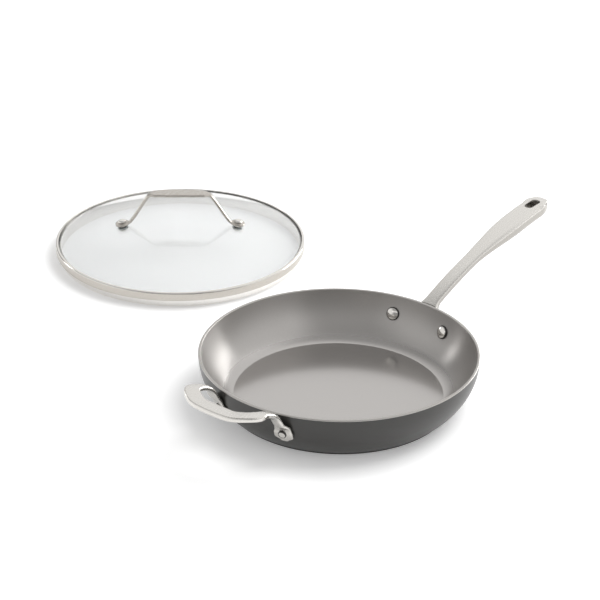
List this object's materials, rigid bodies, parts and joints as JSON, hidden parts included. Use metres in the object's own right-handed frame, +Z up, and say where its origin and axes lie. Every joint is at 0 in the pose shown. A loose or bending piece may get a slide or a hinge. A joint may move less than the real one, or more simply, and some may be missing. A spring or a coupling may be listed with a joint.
{
  "type": "frying pan with lid",
  "caption": "Flared hard-anodised frying pan with a nonstick inside, a riveted steel long handle, a riveted helper handle, and a glass lid with a steel rim and strap handle.",
  "frame": {"origin": "centre of the pan's base, on the surface that the pan and the lid stand on", "axes": "+Z up, +X out along the long handle, helper handle at -X, lid beside the pan towards +Y"},
  "size_m": [0.5984, 0.6852, 0.1081],
  "materials": {
    "pan_body": "hard-anodised outside, semi-gloss grey nonstick coating inside",
    "long_handle": "satin cast stainless steel",
    "long_handle_rivet_left": "polished stainless steel",
    "long_handle_rivet_right": "polished stainless steel",
    "helper_handle": "satin cast stainless steel with polished edges",
    "helper_rivet_left": "polished stainless steel",
    "helper_rivet_right": "polished stainless steel",
    "lid_glass": "clear tempered glass with a faint green-blue tint",
    "lid_rim_band": "satin stainless steel sheet",
    "lid_handle": "satin stainless steel",
    "lid_rivet_left": "polished stainless steel",
    "lid_rivet_right": "polished stainless steel",
    "lid_upper_gasket_left": "dark silicone",
    "lid_upper_gasket_right": "dark silicone",
    "lid_lower_gasket_left": "clear silicone",
    "lid_lower_gasket_right": "clear silicone",
    "lid_washer_left": "plain stainless steel",
    "lid_washer_right": "plain stainless steel"
  },
  "bodies": {
    "pan": {"pan_body": "pan_body", "long_handle": "long_handle", "long_handle_rivet_left": "long_handle_rivet_left", "long_handle_rivet_right": "long_handle_rivet_right", "helper_handle": "helper_handle", "helper_rivet_left": "helper_rivet_left", "helper_rivet_right": "helper_rivet_right"},
    "lid": {"lid_glass": "lid_glass", "lid_rim_band": "lid_rim_band", "lid_handle": "lid_handle", "lid_rivet_left": "lid_rivet_left", "lid_rivet_right": "lid_rivet_right", "lid_upper_gasket_left": "lid_upper_gasket_left", "lid_upper_gasket_right": "lid_upper_gasket_right", "lid_lower_gasket_left": "lid_lower_gasket_left", "lid_lower_gasket_right": "lid_lower_gasket_right", "lid_washer_left": "lid_washer_left", "lid_washer_right": "lid_washer_right"}
  },
  "joints": [
    {"name": "lid_lift", "type": "slide", "parent": "pan", "child": "lid", "axis": [0, 0, 1], "range_m": [0, 0.2]}
  ]
}
